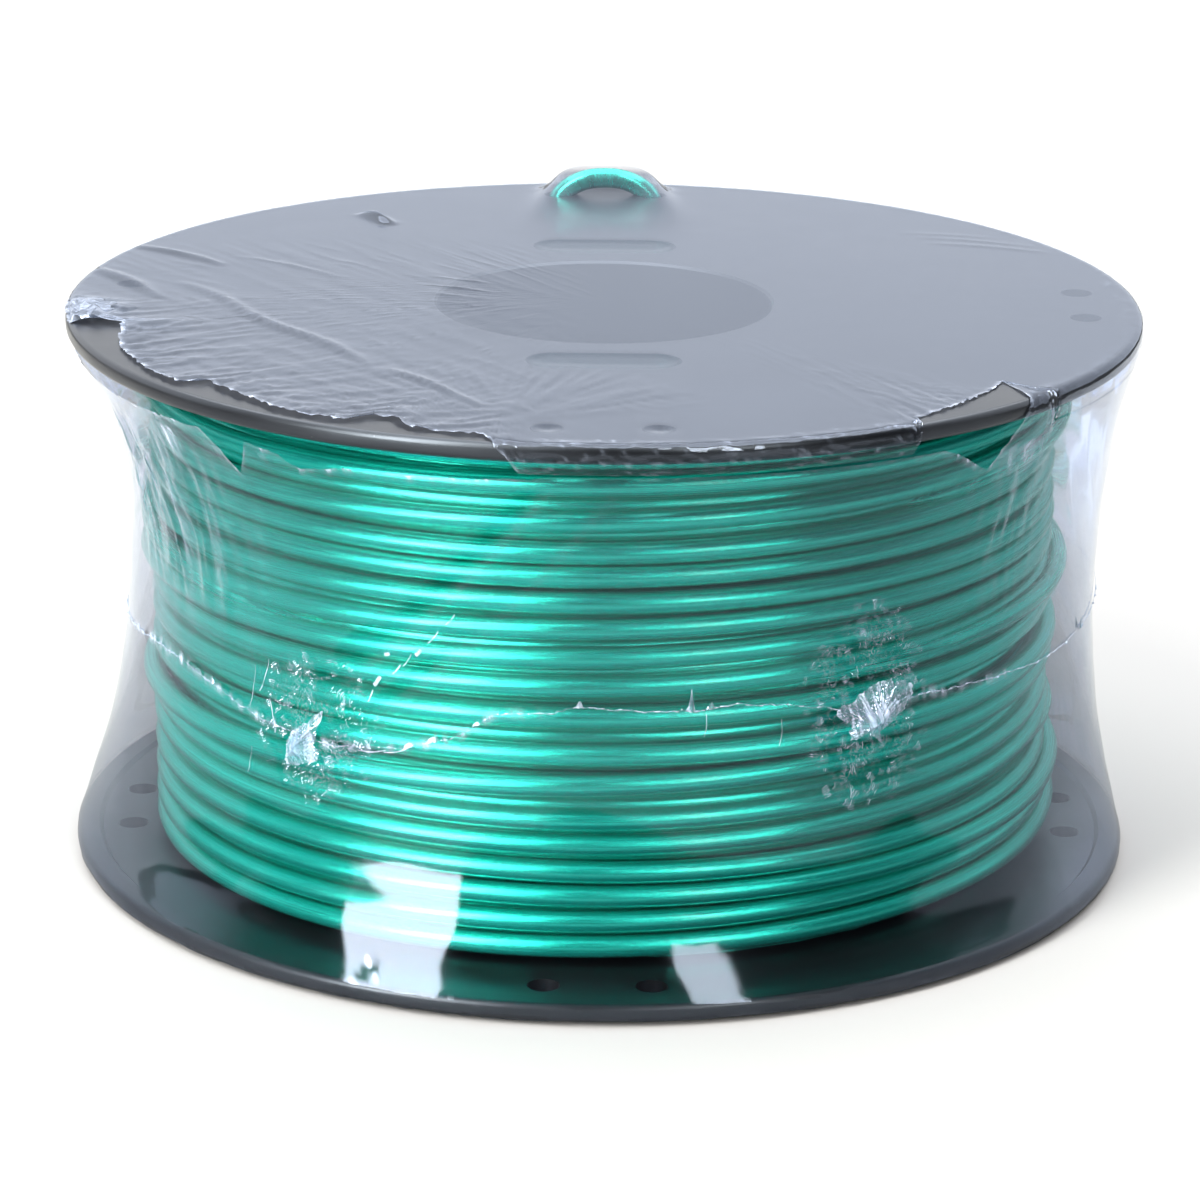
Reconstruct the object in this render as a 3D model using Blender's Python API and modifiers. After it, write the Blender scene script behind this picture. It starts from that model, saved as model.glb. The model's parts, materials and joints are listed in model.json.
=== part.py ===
"""Wire spool: a plastic reel wound with green wire, sealed in shrink film.

The axis of the reel is +Z and the origin is the middle of the film under the reel.
All sizes are in metres.
"""

import math

import bmesh
import bpy
from mathutils import Matrix, Vector

MM = 0.001

# Driving dimensions
FLANGE_RADIUS = 82.5 * MM
REEL_HEIGHT = 85.7 * MM
BORE_RADIUS = 25.75 * MM
WIRE_DIAMETER = 3.4 * MM
WINDING_RADIUS = 70.6 * MM
FILM = 0.3 * MM
GAP = 0.3 * MM

# Reel
PLATE = 2.2 * MM
RIM_THICKNESS = 2.8 * MM
RIM_WIDTH = 3.4 * MM
RIM_ROUNDING = 0.9 * MM
COLLAR_WALL = 2.1 * MM
COLLAR_LENGTH = 12.0 * MM
BARREL_WALL = 2.0 * MM
SLOT_RADIUS = 36.1 * MM
SLOT_WIDTH = 8.5 * MM
SLOT_LENGTH = 23.0 * MM
TIE_HOLE_RADIUS = 73.4 * MM
TIE_HOLE_DIAMETER = 4.8 * MM
TIE_HOLE_SPACING = 15.6 * MM

# Wire
LAYER_COUNT = 14
TURNS_PER_LAYER = 23
LOOP_CLEARANCE = 1.2 * MM
LOOP_TAIL = 3.2 * MM

# Film
WAIST_RADIUS = 75.2 * MM
WAIST_SHARE = 0.6
FILM_CURVE = 1.9
SEAM_HEIGHT = 43.0 * MM
SEAM_FIN = 1.0 * MM
TENT_WIDTH = 12.0 * MM
TENT_DEPTH = 6.5 * MM
TENT_SLACK = 0.7 * MM
EAR_LENGTH = 11.0 * MM
EAR_WIDTH = 9.0 * MM
EAR_THICKNESS = 1.0 * MM
EAR_ANGLES = {"left": 238.0, "right": 311.0}

ROUND_STEPS = 60
WIRE_STEPS = 40
TENT_FINE_STEP = 2.5
TENT_FINE_SPAN = 20.0
TENT_COARSE_STEP = 8.0

# Levels along the axis
BOTTOM_FACE = FILM + GAP
TOP_FACE = BOTTOM_FACE + REEL_HEIGHT
MIDDLE = (BOTTOM_FACE + TOP_FACE) / 2
WINDING_BOTTOM = BOTTOM_FACE + RIM_THICKNESS + GAP
WINDING_TOP = TOP_FACE - RIM_THICKNESS - GAP

# Radii of the barrel and of the winding on it
BARREL_INNER = BORE_RADIUS + COLLAR_WALL + GAP
BARREL_OUTER = BARREL_INNER + BARREL_WALL
LAYER_STEP = (WINDING_RADIUS - BARREL_OUTER) / LAYER_COUNT


def empty_the_scene():
    for old in list(bpy.data.objects):
        bpy.data.objects.remove(old)


def new_collection(name):
    collection = bpy.data.collections.new(name)
    bpy.context.scene.collection.children.link(collection)
    return collection


def new_material(name, colour, roughness, metallic=0.0, alpha=1.0):
    material = bpy.data.materials.new(name)
    material.use_nodes = True
    shader = material.node_tree.nodes["Principled BSDF"]
    shader.inputs["Base Color"].default_value = (*colour, 1.0)
    shader.inputs["Roughness"].default_value = roughness
    shader.inputs["Metallic"].default_value = metallic
    shader.inputs["Alpha"].default_value = alpha
    return material


def add_object(name, mesh, material, collection):
    piece = bpy.data.objects.new(name, mesh)
    piece.data.materials.append(material)
    collection.objects.link(piece)
    return piece


def add_cutter(name, mesh, collection):
    cutter = bpy.data.objects.new(name, mesh)
    cutter.display_type = "WIRE"
    cutter.hide_render = True
    collection.objects.link(cutter)
    return cutter


def mesh_of(name, bm):
    bmesh.ops.recalc_face_normals(bm, faces=bm.faces)
    mesh = bpy.data.meshes.new(name)
    bm.to_mesh(mesh)
    bm.free()
    return mesh


def shade_round(mesh, sharp_angle=35.0):
    mesh.shade_smooth()
    mesh.set_sharp_from_angle(angle=math.radians(sharp_angle))


def add_turned(name, profile, material, collection, steps=ROUND_STEPS):
    """A ring turned from a closed outline of (radius, height) points.

    The outline runs down its outer side and up its inner side.
    """
    mesh = bpy.data.meshes.new(name)
    corners = [(radius, 0.0, height) for radius, height in profile]
    count = len(corners)
    edges = [(i, (i + 1) % count) for i in range(count)]
    mesh.from_pydata(corners, edges, [])
    piece = add_object(name, mesh, material, collection)
    turn = piece.modifiers.new("Turn", "SCREW")
    turn.axis = "Z"
    turn.steps = steps
    turn.render_steps = steps
    turn.use_merge_vertices = True
    turn.merge_threshold = 0.00001
    turn.use_smooth_shade = True
    return piece


def cut(piece, cutter):
    boolean = piece.modifiers.new("Cut " + cutter.name, "BOOLEAN")
    boolean.operation = "DIFFERENCE"
    boolean.solver = "EXACT"
    boolean.object = cutter


def rounded_corner(centre, radius, start_angle, turn_angle, steps=3):
    """Points along an arc about centre, in degrees, both ends included."""
    points = []
    for i in range(steps + 1):
        angle = math.radians(start_angle + turn_angle * i / steps)
        points.append((centre[0] + radius * math.cos(angle), centre[1] + radius * math.sin(angle)))
    return points


# Reel


def flange_profile():
    """The lower flange's outline with its outer face at height 0.

    The rim is thicker than the plate and stands up from its inner face.
    """
    rim_edge = FLANGE_RADIUS - RIM_ROUNDING
    profile = rounded_corner((rim_edge, RIM_THICKNESS - RIM_ROUNDING), RIM_ROUNDING, 90.0, -90.0)
    profile += rounded_corner((rim_edge, RIM_ROUNDING), RIM_ROUNDING, 0.0, -90.0)
    profile += [
        (BORE_RADIUS, 0.0),
        (BORE_RADIUS, COLLAR_LENGTH),
        (BORE_RADIUS + COLLAR_WALL, COLLAR_LENGTH),
        (BORE_RADIUS + COLLAR_WALL, PLATE),
        (FLANGE_RADIUS - RIM_WIDTH - (RIM_THICKNESS - PLATE), PLATE),
        (FLANGE_RADIUS - RIM_WIDTH, RIM_THICKNESS),
    ]
    return profile


def slot_cutter_mesh(name):
    """A round-ended bar along X, as long and wide as a slot."""
    bm = bmesh.new()
    bmesh.ops.create_cone(
        bm,
        cap_ends=True,
        segments=24,
        radius1=SLOT_WIDTH / 2,
        radius2=SLOT_WIDTH / 2,
        depth=4 * PLATE,
        matrix=Matrix.Rotation(math.pi / 24, 4, "Z"),
    )
    half_run = (SLOT_LENGTH - SLOT_WIDTH) / 2
    for vert in bm.verts:
        vert.co.x += math.copysign(half_run, vert.co.x)
    return mesh_of(name, bm)


def tie_hole_cutter_mesh(name):
    """Two drills side by side along X, one for each hole of a pair."""
    bm = bmesh.new()
    for side in (-1, 1):
        bmesh.ops.create_cone(
            bm,
            cap_ends=True,
            segments=16,
            radius1=TIE_HOLE_DIAMETER / 2,
            radius2=TIE_HOLE_DIAMETER / 2,
            depth=4 * PLATE,
            matrix=Matrix.Translation((side * TIE_HOLE_SPACING / 2, 0.0, 0.0)),
        )
    return mesh_of(name, bm)


def around_axis(mesh, name, radius, angle, height, cutters):
    """A cutter at radius, with its X along the circle about the reel's axis."""
    cutter = add_cutter(name, mesh, cutters)
    cutter.location = (radius * math.cos(angle), radius * math.sin(angle), height)
    cutter.rotation_euler = (0.0, 0.0, angle + math.pi / 2)
    return cutter


def add_flange(name, height, turned_over, material, parts, cutters):
    """One flange with its collar, two slots beside the bore and four pairs of tie holes."""
    profile = flange_profile()
    if turned_over:
        profile = [(radius, -z) for radius, z in reversed(profile)]
    profile = [(radius, z + height) for radius, z in profile]
    flange = add_turned(name, profile, material, parts)
    middle = height + (-PLATE if turned_over else PLATE) / 2
    slot_mesh = slot_cutter_mesh(name + "_slot")
    for i in range(2):
        slot = around_axis(
            slot_mesh, name + "_slot_" + str(i), SLOT_RADIUS, math.pi * (i + 0.5), middle, cutters
        )
        cut(flange, slot)
    hole_mesh = tie_hole_cutter_mesh(name + "_tie_holes")
    for i in range(4):
        holes = around_axis(
            hole_mesh, name + "_tie_holes_" + str(i), TIE_HOLE_RADIUS, math.pi * i / 2, middle, cutters
        )
        cut(flange, holes)
    return flange


def add_barrel(material, parts):
    bottom = BOTTOM_FACE + PLATE + GAP
    top = TOP_FACE - PLATE - GAP
    profile = [(BARREL_OUTER, top), (BARREL_OUTER, bottom), (BARREL_INNER, bottom), (BARREL_INNER, top)]
    return add_turned("barrel_tube", profile, material, parts)


# Wire


def layer_profile(inner, outer, scalloped):
    """One layer of the winding: flat inside, and outside with one crest for each turn."""
    if not scalloped:
        crests = [(outer, WINDING_TOP), (outer, WINDING_BOTTOM)]
    else:
        pitch = (WINDING_TOP - WINDING_BOTTOM) / TURNS_PER_LAYER
        valley = outer - 0.8 * MM
        crests = [(valley, WINDING_TOP)]
        for i in range(TURNS_PER_LAYER):
            crests.append((outer, WINDING_TOP - pitch * (i + 0.5)))
            crests.append((valley, WINDING_TOP - pitch * (i + 1)))
    return crests + [(inner, WINDING_BOTTOM), (inner, WINDING_TOP)]


def add_wire_layers(material, parts):
    for i in range(LAYER_COUNT):
        inner = BARREL_OUTER + GAP + i * LAYER_STEP
        outer = BARREL_OUTER + (i + 1) * LAYER_STEP
        profile = layer_profile(inner, outer, scalloped=i == LAYER_COUNT - 1)
        add_turned("wire_layer_{:02d}".format(i + 1), profile, material, parts, WIRE_STEPS)


def add_wire_end_loop(material, parts):
    """The wire's end, up through one tie hole, over the flange and down through the other."""
    half = TIE_HOLE_SPACING / 2
    crown = TOP_FACE + LOOP_CLEARANCE + WIRE_DIAMETER / 2
    foot = TOP_FACE - PLATE - LOOP_TAIL
    shoulder = TOP_FACE + 0.2 * MM
    points = [Vector((-half, TIE_HOLE_RADIUS, foot)), Vector((-half, TIE_HOLE_RADIUS, TOP_FACE - PLATE))]
    arc_steps = 10
    for i in range(arc_steps + 1):
        angle = math.pi * (1 - i / arc_steps)
        points.append(
            Vector(
                (
                    half * math.cos(angle),
                    TIE_HOLE_RADIUS,
                    shoulder + (crown - shoulder) * math.sin(angle),
                )
            )
        )
    points += [Vector((half, TIE_HOLE_RADIUS, TOP_FACE - PLATE)), Vector((half, TIE_HOLE_RADIUS, foot))]
    curve = bpy.data.curves.new("wire_end_loop", "CURVE")
    curve.dimensions = "3D"
    curve.bevel_depth = WIRE_DIAMETER / 2
    curve.bevel_resolution = 2
    curve.use_fill_caps = True
    spline = curve.splines.new("POLY")
    spline.points.add(len(points) - 1)
    for spot, point in zip(spline.points, points):
        spot.co = (*point, 1.0)
    loop = bpy.data.objects.new("wire_end_loop", curve)
    loop.data.materials.append(material)
    parts.objects.link(loop)
    return loop


# Film


def film_radius(height):
    """The inner radius of the film at a height.

    It clings to both rims and draws in between them to its waist.
    """
    low = BOTTOM_FACE + RIM_THICKNESS + GAP
    high = TOP_FACE - RIM_THICKNESS - GAP
    share = min(max((height - low) / (high - low), 0.0), 1.0)
    span = WAIST_SHARE if share < WAIST_SHARE else 1 - WAIST_SHARE
    away = abs(share - WAIST_SHARE) / span
    rim = FLANGE_RADIUS + GAP
    return WAIST_RADIUS + (rim - WAIST_RADIUS) * away**FILM_CURVE


def add_sleeve(name, heights, material, parts):
    """The film between the first and the last of some heights, highest first, as a turned sheet."""
    outside = [(film_radius(height) + FILM, height) for height in heights]
    inside = [(film_radius(height), height) for height in reversed(heights)]
    return add_turned(name, outside + inside, material, parts)


def add_sleeves(material, parts):
    """The film's two halves round the side, which meet at the seam."""
    rows = 5
    upper = [TOP_FACE]
    lower = []
    for i in range(rows + 1):
        upper.append(WINDING_TOP + (SEAM_HEIGHT + GAP / 2 - WINDING_TOP) * i / rows)
        lower.append(SEAM_HEIGHT - GAP / 2 + (WINDING_BOTTOM - SEAM_HEIGHT + GAP / 2) * i / rows)
    lower.append(BOTTOM_FACE)
    add_sleeve("film_sleeve_upper", upper, material, parts)
    add_sleeve("film_sleeve_lower", lower, material, parts)


def tent_height(x, y):
    """How far the wire's end lifts the film above the flange at a place."""
    across = x / TENT_WIDTH
    along = (y - TIE_HOLE_RADIUS) / TENT_DEPTH
    lift = LOOP_CLEARANCE + WIRE_DIAMETER + TENT_SLACK
    return lift * math.exp(-(across**2) - along**2)


def sheet_angles():
    """Angles for the rings of the top sheet, in degrees, close together at the wire's end."""
    fine = round(2 * TENT_FINE_SPAN / TENT_FINE_STEP)
    coarse = round((360.0 - 2 * TENT_FINE_SPAN) / TENT_COARSE_STEP)
    angles = [90.0 - TENT_FINE_SPAN + TENT_FINE_STEP * i for i in range(fine)]
    angles += [90.0 + TENT_FINE_SPAN + TENT_COARSE_STEP * i for i in range(coarse)]
    return angles


def add_top_sheet(material, parts):
    """The film across the upper flange, with its tent over the wire's end."""
    bm = bmesh.new()
    centre = bm.verts.new((0.0, 0.0, 0.0))
    angles = [math.radians(angle) for angle in sheet_angles()]
    inner_ring = None
    for share in (0.62, 0.74, 0.8, 0.84, 0.87, 0.9, 0.93, 0.96, 1.0):
        radius = share * FLANGE_RADIUS
        ring = [bm.verts.new((radius * math.cos(a), radius * math.sin(a), 0.0)) for a in angles]
        for i in range(len(ring)):
            if inner_ring is None:
                bm.faces.new((centre, ring[i - 1], ring[i]))
            else:
                bm.faces.new((inner_ring[i - 1], ring[i - 1], ring[i], inner_ring[i]))
        inner_ring = ring
    for vert in bm.verts:
        vert.co.z = TOP_FACE + GAP + tent_height(vert.co.x, vert.co.y)
    mesh = bpy.data.meshes.new("film_top_sheet")
    bm.to_mesh(mesh)
    bm.free()
    sheet = add_object("film_top_sheet", mesh, material, parts)
    wall = sheet.modifiers.new("Thickness", "SOLIDIFY")
    wall.thickness = FILM
    wall.offset = 1.0
    return sheet


def add_bottom_sheet(material, parts):
    """The film under the lower flange, which the spool stands on."""
    bm = bmesh.new()
    bmesh.ops.create_cone(
        bm,
        cap_ends=True,
        segments=ROUND_STEPS,
        radius1=FLANGE_RADIUS,
        radius2=FLANGE_RADIUS,
        depth=FILM,
        matrix=Matrix.Translation((0.0, 0.0, FILM / 2)),
    )
    mesh = mesh_of("film_bottom_sheet", bm)
    return add_object("film_bottom_sheet", mesh, material, parts)


def add_seam(material, parts):
    """The welded fin where the two halves of the film meet."""
    inner = film_radius(SEAM_HEIGHT) + FILM + GAP
    half = FILM / 2
    profile = [
        (inner + SEAM_FIN, SEAM_HEIGHT + half),
        (inner + SEAM_FIN, SEAM_HEIGHT - half),
        (inner, SEAM_HEIGHT - 2 * half),
        (inner, SEAM_HEIGHT + 2 * half),
    ]
    return add_turned("film_seam", profile, material, parts)


def add_ear(side, material, parts):
    """A crumpled corner of film left where the bag's weld turns, hanging below the seam."""
    bm = bmesh.new()
    bmesh.ops.create_cube(bm, size=1.0)
    bmesh.ops.scale(bm, vec=(EAR_THICKNESS, EAR_WIDTH, EAR_LENGTH), verts=bm.verts)
    for vert in bm.verts:
        if vert.co.z < 0:
            vert.co.y *= 0.3
    angle = math.radians(EAR_ANGLES[side])
    low = SEAM_HEIGHT - 2 * FILM - EAR_LENGTH
    radius = film_radius(low) + FILM + GAP + EAR_THICKNESS / 2 + 0.4 * MM
    ear = add_object("film_ear_" + side, mesh_of("film_ear_" + side, bm), material, parts)
    ear.location = (radius * math.cos(angle), radius * math.sin(angle), low + EAR_LENGTH / 2)
    ear.rotation_euler = (0.0, 0.0, angle)
    soften = ear.modifiers.new("Soften", "BEVEL")
    soften.width = 0.25 * MM
    soften.segments = 2
    return ear


def main():
    empty_the_scene()
    parts = new_collection("wire_spool")
    cutters = new_collection("cutters")
    black = new_material("reel_black_plastic", (0.012, 0.012, 0.014), 0.3)
    green = new_material("green_wire_sheath", (0.0, 0.36, 0.24), 0.25)
    clear = new_material("clear_film", (0.8, 0.83, 0.88), 0.1, alpha=0.25)

    add_flange("bottom_flange", BOTTOM_FACE, False, black, parts, cutters)
    add_flange("top_flange", TOP_FACE, True, black, parts, cutters)
    add_barrel(black, parts)
    add_wire_layers(green, parts)
    add_wire_end_loop(green, parts)
    add_top_sheet(clear, parts)
    add_sleeves(clear, parts)
    add_bottom_sheet(clear, parts)
    add_seam(clear, parts)
    for side in EAR_ANGLES:
        add_ear(side, clear, parts)


main()
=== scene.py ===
"""Looks of a wire spool in shrink film, built around its CAD frame.

The reel's axis is +Z, and the spool is seen from -Y. Every length is in metres.
"""

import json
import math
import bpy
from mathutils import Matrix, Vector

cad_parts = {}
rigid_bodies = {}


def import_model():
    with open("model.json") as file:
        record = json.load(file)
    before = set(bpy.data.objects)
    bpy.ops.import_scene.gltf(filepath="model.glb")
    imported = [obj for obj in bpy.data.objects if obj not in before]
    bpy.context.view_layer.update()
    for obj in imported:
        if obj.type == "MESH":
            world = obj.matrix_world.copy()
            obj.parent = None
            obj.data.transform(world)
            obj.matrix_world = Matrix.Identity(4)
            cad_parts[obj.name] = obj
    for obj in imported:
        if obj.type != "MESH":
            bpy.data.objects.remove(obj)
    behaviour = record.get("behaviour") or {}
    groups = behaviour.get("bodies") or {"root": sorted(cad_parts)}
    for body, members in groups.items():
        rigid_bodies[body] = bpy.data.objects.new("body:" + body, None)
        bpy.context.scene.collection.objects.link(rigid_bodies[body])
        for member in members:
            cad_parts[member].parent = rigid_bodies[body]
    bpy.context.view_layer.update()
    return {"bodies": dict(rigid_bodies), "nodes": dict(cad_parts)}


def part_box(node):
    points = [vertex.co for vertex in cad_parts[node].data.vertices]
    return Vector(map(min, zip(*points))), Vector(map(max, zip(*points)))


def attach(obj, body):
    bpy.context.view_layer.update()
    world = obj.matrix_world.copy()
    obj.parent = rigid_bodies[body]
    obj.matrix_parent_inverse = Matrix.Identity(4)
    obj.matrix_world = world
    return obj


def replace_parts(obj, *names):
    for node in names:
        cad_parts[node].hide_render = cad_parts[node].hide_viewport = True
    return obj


bl_info = {
    "name": "Wire Spool",
    "version": (1, 0, 0),
    "blender": (4, 5, 0),
    "location": "View3D > Sidebar > Wire Spool",
    "description": "Builds a reel of green wire in torn shrink film, with a studio around it",
    "category": "Add Mesh",
}

import bmesh
import bpy
import numpy as np
from bpy.props import FloatProperty, FloatVectorProperty, IntProperty
from mathutils import Matrix, Vector, noise

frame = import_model()

MM = 0.001
BODY = list(frame["bodies"])[0]
INNER_LAYERS = ["wire_layer_{:02d}".format(i + 1) for i in range(12)]

# Levels and radii of the CAD pieces
FLANGE_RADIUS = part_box("top_flange")[1].x
TOP_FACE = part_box("top_flange")[1].z
BOTTOM_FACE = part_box("bottom_flange")[0].z
COLLAR_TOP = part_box("bottom_flange")[1].z
WINDING_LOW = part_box("wire_layer_14")[0].z
WINDING_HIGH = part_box("wire_layer_14")[1].z
WINDING_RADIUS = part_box("wire_layer_14")[1].x
LAYER_13_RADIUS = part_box("wire_layer_13")[1].x
LOOP_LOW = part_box("wire_end_loop")[0]
LOOP_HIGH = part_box("wire_end_loop")[1]
WIRE_DIAMETER = LOOP_HIGH.y - LOOP_LOW.y
LOOP_Y = (LOOP_LOW.y + LOOP_HIGH.y) / 2
LOOP_HALF = (LOOP_HIGH.x - LOOP_LOW.x - WIRE_DIAMETER) / 2
RIM_THICKNESS = WINDING_LOW - BOTTOM_FACE - 0.3 * MM
FILM_GAP = 0.12 * MM


# Sizes and colours that a user would change


def length_setting(name, description, default):
    return FloatProperty(name=name, description=description, default=default, unit="LENGTH")


def share_setting(name, description, default):
    return FloatProperty(name=name, description=description, default=default, min=0.0, max=1.0)


def colour_setting(name, description, default):
    return FloatVectorProperty(
        name=name, description=description, default=default, subtype="COLOR", min=0.0, max=1.0
    )


def angle_setting(name, description, degrees):
    return FloatProperty(
        name=name, description=description, default=math.radians(degrees), subtype="ANGLE"
    )


class ReelSettings(bpy.types.PropertyGroup):
    """The plastic reel."""

    colour: colour_setting("Colour", "Colour of the reel's plastic", (0.009, 0.009, 0.011))
    roughness: share_setting("Roughness", "How matt the reel's faces are", 0.34)
    bore_radius: length_setting("Bore radius", "Radius of the hole for the spindle", 25.75 * MM)
    plate: length_setting("Plate", "Thickness of a flange inside its rim", 2.2 * MM)


class WireSettings(bpy.types.PropertyGroup):
    """The green wire."""

    colour: colour_setting("Colour", "Colour of the wire's sheath", (0.016, 0.72, 0.61))
    gleam: share_setting("Gleam", "How much the sheath gleams in its own colour", 0.74)
    turns: IntProperty(
        name="Turns",
        description="Turns of wire in the outermost layer, from flange to flange",
        default=18,
        min=1,
    )
    wander: length_setting("Wander", "How far a turn strays up or down from its even place", 4.2 * MM)
    slack: length_setting("Slack", "How far a loose turn stands off the ones below it", 2.2 * MM)


class FilmSettings(bpy.types.PropertyGroup):
    """The shrink film."""

    tint: colour_setting("Tint", "Colour of what the film mirrors", (0.69, 0.79, 1.0))


class StageSettings(bpy.types.PropertyGroup):
    """The studio around the spool."""

    camera_distance: length_setting("Camera distance", "Level distance from the reel's axis", 0.7073)
    camera_height: length_setting("Camera height", "Height of the camera above the floor", 0.2635)
    camera_lens: FloatProperty(
        name="Lens", description="Focal length of the camera", default=141.8, subtype="DISTANCE_CAMERA"
    )
    camera_pitch: angle_setting("Pitch", "How far the camera looks down", 17.69)
    camera_roll: angle_setting("Roll", "How far the camera leans to its left", 0.57)


# Shared helpers


def dress(piece, material):
    """Give a piece one material, in place of any it has."""
    piece.data.materials.clear()
    piece.data.materials.append(material)


def link_object(name, mesh, material):
    """A finished piece that rides on the spool."""
    piece = bpy.data.objects.new(name, mesh)
    bpy.context.scene.collection.objects.link(piece)
    dress(piece, material)
    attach(piece, BODY)
    return piece


def finish_mesh(bm, name, merge=0.0, smooth=True, sharp_angle=math.radians(35)):
    if merge:
        bmesh.ops.remove_doubles(bm, verts=bm.verts, dist=merge)
    bmesh.ops.recalc_face_normals(bm, faces=bm.faces)
    mesh = bpy.data.meshes.new(name)
    bm.to_mesh(mesh)
    bm.free()
    if smooth:
        mesh.shade_smooth()
        mesh.set_sharp_from_angle(angle=sharp_angle)
    return mesh


def evaluated_mesh(piece):
    """The piece's mesh with its modifiers applied, after which the piece is removed."""
    graph = bpy.context.evaluated_depsgraph_get()
    mesh = bpy.data.meshes.new_from_object(piece.evaluated_get(graph))
    bpy.data.objects.remove(piece)
    return mesh


def polar(radius, angle, height):
    """A place at an angle from the front, turning towards +X."""
    return Vector((radius * math.sin(angle), -radius * math.cos(angle), height))


def smooth_step(low, high, value):
    share = min(max((value - low) / (high - low), 0.0), 1.0)
    return share * share * (3 - 2 * share)


def bump(value, centre, width):
    return math.exp(-(((value - centre) / width) ** 2))


def ridged(value):
    return (1 - abs(value)) ** 2


# Node helpers


def feed(tree, socket, value):
    """Link a socket to another one, or set it to a value."""
    if isinstance(value, bpy.types.NodeSocket):
        tree.links.new(value, socket)
    else:
        socket.default_value = value


def add_node(tree, kind, **inputs):
    node = tree.nodes.new(kind)
    for key, value in inputs.items():
        feed(tree, node.inputs[key.replace("_", " ")], value)
    return node


def maths(tree, operation, first, second=None, third=None, clamp=False):
    node = tree.nodes.new("ShaderNodeMath")
    node.operation = operation
    node.use_clamp = clamp
    for i, value in enumerate((first, second, third)):
        if value is not None:
            feed(tree, node.inputs[i], value)
    return node.outputs[0]


def map_range(tree, value, low, high, to_low=0.0, to_high=1.0):
    node = tree.nodes.new("ShaderNodeMapRange")
    node.interpolation_type = "SMOOTHSTEP"
    tree.links.new(value, node.inputs["Value"])
    node.inputs["From Min"].default_value = low
    node.inputs["From Max"].default_value = high
    node.inputs["To Min"].default_value = to_low
    node.inputs["To Max"].default_value = to_high
    return node.outputs["Result"]


def mix_colour(tree, factor, first, second):
    node = tree.nodes.new("ShaderNodeMix")
    node.data_type = "RGBA"
    factor_socket, first_socket, second_socket, mixed = 0, 6, 7, 2
    for index, value in ((factor_socket, factor), (first_socket, first), (second_socket, second)):
        feed(tree, node.inputs[index], value)
    return node.outputs[mixed]


def vertex_value(tree, name):
    """A value stored on the mesh's vertices."""
    node = add_node(tree, "ShaderNodeAttribute")
    node.attribute_name = name
    return node.outputs["Fac"]


def drawn_noise(tree, vector, stretch, scale, detail):
    """Noise squeezed along each axis by its own amount."""
    mapping = add_node(tree, "ShaderNodeMapping", Vector=vector)
    mapping.inputs["Scale"].default_value = stretch
    squeezed = mapping.outputs["Vector"]
    return add_node(tree, "ShaderNodeTexNoise", Vector=squeezed, Scale=scale, Detail=detail).outputs["Fac"]


def new_material(name):
    material = bpy.data.materials.new(name)
    material.use_nodes = True
    return material, material.node_tree, material.node_tree.nodes["Principled BSDF"]


def black_plastic(settings):
    """Moulded black plastic with fine scratches and a little dust."""
    material, tree, shader = new_material("black_plastic")
    place = add_node(tree, "ShaderNodeTexCoord").outputs["Object"]
    grain = add_node(tree, "ShaderNodeTexNoise", Vector=place, Scale=2600.0, Detail=3.0)
    cloud = add_node(tree, "ShaderNodeTexNoise", Vector=place, Scale=45.0, Detail=4.0)
    dust = add_node(tree, "ShaderNodeTexVoronoi", Vector=place, Scale=520.0)
    speck = map_range(tree, dust.outputs["Distance"], 0.03, 0.07, 1.0, 0.0)
    base = (*settings.colour, 1.0)
    lifted = (*(1.6 * c for c in settings.colour), 1.0)
    tone = mix_colour(tree, map_range(tree, cloud.outputs["Fac"], 0.35, 0.7), base, lifted)
    dusty = mix_colour(tree, maths(tree, "MULTIPLY", speck, 0.35), tone, (0.25, 0.25, 0.26, 1.0))
    tree.links.new(dusty, shader.inputs["Base Color"])
    smoother = settings.roughness - 0.05
    rougher = settings.roughness + 0.07
    rough = map_range(tree, cloud.outputs["Fac"], 0.3, 0.7, smoother, rougher)
    tree.links.new(rough, shader.inputs["Roughness"])
    shader.inputs["Specular IOR Level"].default_value = 0.95
    shader.inputs["Coat Weight"].default_value = 0.16
    shader.inputs["Coat Roughness"].default_value = 0.3
    shader.inputs["Specular Tint"].default_value = (0.72, 0.84, 1.0, 1.0)
    relief = add_node(tree, "ShaderNodeBump", Strength=0.12, Distance=0.05 * MM, Height=grain.outputs["Fac"])
    tree.links.new(relief.outputs["Normal"], shader.inputs["Normal"])
    return material


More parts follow.
